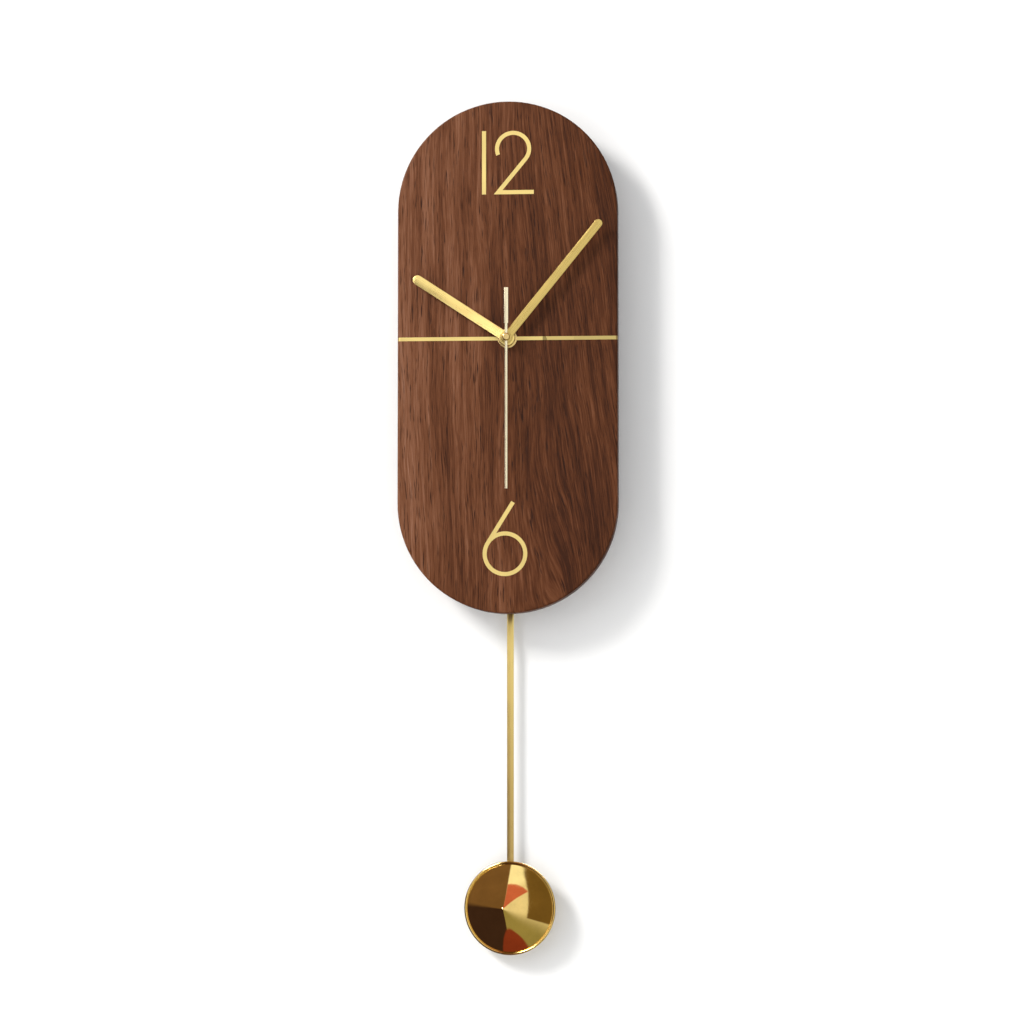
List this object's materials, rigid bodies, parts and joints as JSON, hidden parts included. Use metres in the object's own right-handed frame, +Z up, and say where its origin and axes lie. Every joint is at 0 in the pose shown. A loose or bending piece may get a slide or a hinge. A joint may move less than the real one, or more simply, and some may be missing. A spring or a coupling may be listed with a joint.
{
  "type": "wall clock",
  "caption": "Walnut pendulum wall clock with half-round ends, gilt inlaid figures and cross line, brass hands, quartz movement and a conical brass bob on a flat rod",
  "frame": {"origin": "centre of the round entry of the hanger's keyhole, on the wall plane", "axes": "+X right as seen from the front, -Y out of the dial towards the viewer, +Y into the wall, +Z up"},
  "size_m": [0.15, 0.047, 0.581],
  "materials": {
    "walnut": "oiled walnut, fine straight grain",
    "inlay_brass": "satin gilt strip, let in flush",
    "hand_brass": "brushed brass",
    "second_gilt": "polished pale gilt",
    "shaft_brass": "turned brass",
    "bob_brass": "mirror-polished brass",
    "rod_brass": "satin brass strip",
    "black_plastic": "moulded black plastic",
    "white_plastic": "moulded natural acetal",
    "red_plastic": "moulded red plastic",
    "pendulum_plastic": "moulded plastic",
    "steel": "plated steel",
    "bracket_steel": "zinc-plated sheet steel",
    "wheel_brass": "machined brass",
    "stator_iron": "soft iron sheet",
    "magnet": "sintered magnet",
    "copper": "enamelled copper wire",
    "board_green": "circuit board laminate",
    "chip_black": "moulded chip resin",
    "crystal_can": "drawn metal can",
    "cell_jacket": "printed film jacket",
    "rubber": "soft black rubber",
    "beech": "turned beech",
    "felt": "pressed felt"
  },
  "bodies": {
    "clock_body": {"battery_contact_negative": "steel", "battery_contact_positive": "steel", "bracket_screws": "steel", "case_posts": "black_plastic", "circuit_board": "board_green", "coil_bobbin": "pendulum_plastic", "coil_core": "stator_iron", "coil_winding": "copper", "cover_screws": "steel", "cross_strip_1": "inlay_brass", "cross_strip_2": "inlay_brass", "cross_strip_3": "inlay_brass", "cross_strip_4": "inlay_brass", "cross_strip_5": "inlay_brass", "cross_strip_6": "inlay_brass", "cross_strip_7": "inlay_brass", "figure_one_inlay": "inlay_brass", "figure_six_inlay": "inlay_brass", "figure_two_inlay": "inlay_brass", "front_nut": "shaft_brass", "front_washer": "shaft_brass", "hanger_bracket": "bracket_steel", "ic_chip": "chip_black", "movement_frame": "black_plastic", "movement_front_case": "black_plastic", "movement_rear_cover": "black_plastic", "pendulum_coil": "copper", "pendulum_coil_bobbin": "pendulum_plastic", "pendulum_pivot_pin": "steel", "quartz_crystal": "crystal_can", "rubber_washer": "rubber", "stator": "stator_iron", "threaded_bush": "shaft_brass", "train_plate": "white_plastic", "train_screws": "steel", "wall_pads": "felt", "wall_spacers": "beech", "walnut_board": "walnut"},
    "hour_train": {"hour_wheel": "white_plastic", "hour_hand": "hand_brass"},
    "minute_train": {"centre_wheel": "white_plastic", "minute_hand": "hand_brass", "minute_nut": "hand_brass"},
    "second_train": {"second_wheel": "wheel_brass", "second_hand": "second_gilt", "second_cap": "second_gilt"},
    "third_train": {"third_wheel": "white_plastic"},
    "middle_train": {"middle_wheel": "white_plastic"},
    "motor_rotor": {"rotor": "magnet"},
    "motion_train": {"motion_wheel": "white_plastic"},
    "setting_shaft": {"setting_knob": "red_plastic"},
    "cell": {"aa_battery": "cell_jacket"},
    "pendulum": {"pendulum_hanger": "pendulum_plastic", "pendulum_magnet": "magnet", "pendulum_rod": "rod_brass"},
    "bob": {"bob_front_shell": "bob_brass", "bob_back_plate": "bob_brass", "bob_clip": "steel"}
  },
  "joints": [
    {"name": "second_hand_turn", "type": "hinge", "parent": "clock_body", "child": "second_train", "pos_m": [0, -0.012, -0.123], "axis": [0, 1, 0], "continuous": true},
    {"name": "minute_hand_turn", "type": "hinge", "parent": "clock_body", "child": "minute_train", "pos_m": [0, -0.012, -0.123], "axis": [0, 1, 0], "continuous": true},
    {"name": "hour_hand_turn", "type": "hinge", "parent": "clock_body", "child": "hour_train", "pos_m": [0, -0.012, -0.123], "axis": [0, 1, 0], "continuous": true},
    {"name": "third_wheel_turn", "type": "hinge", "parent": "clock_body", "child": "third_train", "pos_m": [-0.00624, -0.012, -0.1194], "axis": [0, 1, 0], "continuous": true},
    {"name": "middle_wheel_turn", "type": "hinge", "parent": "clock_body", "child": "middle_train", "pos_m": [0.00553, -0.012, -0.12099], "axis": [0, 1, 0], "continuous": true},
    {"name": "rotor_turn", "type": "hinge", "parent": "clock_body", "child": "motor_rotor", "pos_m": [0.01094, -0.012, -0.11902], "axis": [0, 1, 0], "continuous": true},
    {"name": "motion_wheel_turn", "type": "hinge", "parent": "clock_body", "child": "motion_train", "pos_m": [0, -0.012, -0.117], "axis": [0, 1, 0], "continuous": true},
    {"name": "setting_knob_turn", "type": "hinge", "parent": "clock_body", "child": "setting_shaft", "pos_m": [0, -0.012, -0.111], "axis": [0, 1, 0], "continuous": true},
    {"name": "cell_removal", "type": "slide", "parent": "clock_body", "child": "cell", "axis": [0, 1, 0], "range_m": [0, 0.03]},
    {"name": "pendulum_swing", "type": "hinge", "parent": "clock_body", "child": "pendulum", "pos_m": [0, -0.0098, -0.157], "axis": [0, 1, 0], "range_deg": [-4, 4]},
    {"name": "bob_height", "type": "slide", "parent": "pendulum", "child": "bob", "axis": [0, 0, -1], "range_m": [0, 0.035]}
  ],
  "couplings": [
    {"joint": "minute_hand_turn", "follows": "second_hand_turn", "ratio": 0.016667},
    {"joint": "hour_hand_turn", "follows": "second_hand_turn", "ratio": 0.0013889},
    {"joint": "third_wheel_turn", "follows": "second_hand_turn", "ratio": -0.125},
    {"joint": "middle_wheel_turn", "follows": "second_hand_turn", "ratio": -6},
    {"joint": "rotor_turn", "follows": "second_hand_turn", "ratio": 30},
    {"joint": "motion_wheel_turn", "follows": "second_hand_turn", "ratio": -0.0055556},
    {"joint": "setting_knob_turn", "follows": "second_hand_turn", "ratio": 0.016667}
  ]
}
